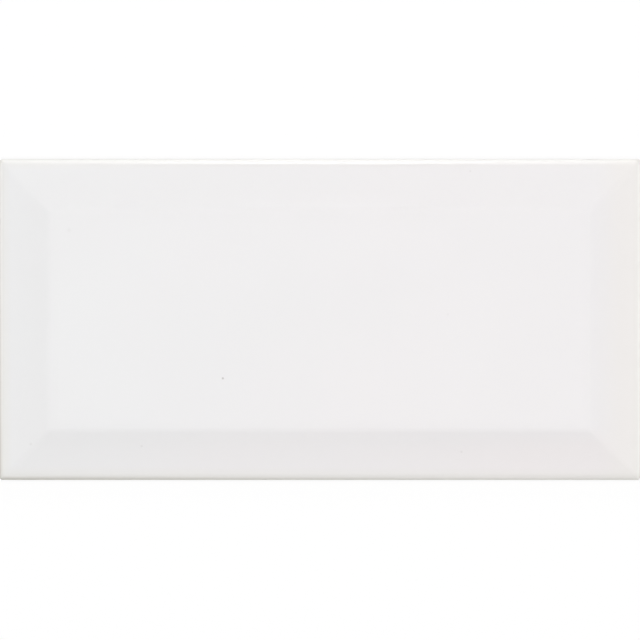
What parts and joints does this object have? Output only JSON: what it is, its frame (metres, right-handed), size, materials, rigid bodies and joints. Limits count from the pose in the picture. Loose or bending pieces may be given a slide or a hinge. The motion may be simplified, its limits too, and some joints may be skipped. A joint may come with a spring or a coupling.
{
  "type": "bevelled wall tile",
  "caption": "Rectangular white glazed ceramic wall tile with a flat raised panel, mitred bevels all round, rounded edges and a lattice key pressed into the back.",
  "frame": {"origin": "centre of the flat back, on the plane that beds on the wall", "axes": "+X along the tile's length, +Y along its width, +Z out of the glazed face"},
  "size_m": [0.2, 0.1, 0.008],
  "materials": {
    "white_glaze": "gloss"
  },
  "bodies": {
    "root": {"bevelled_tile": "white_glaze"}
  },
  "joints": []
}
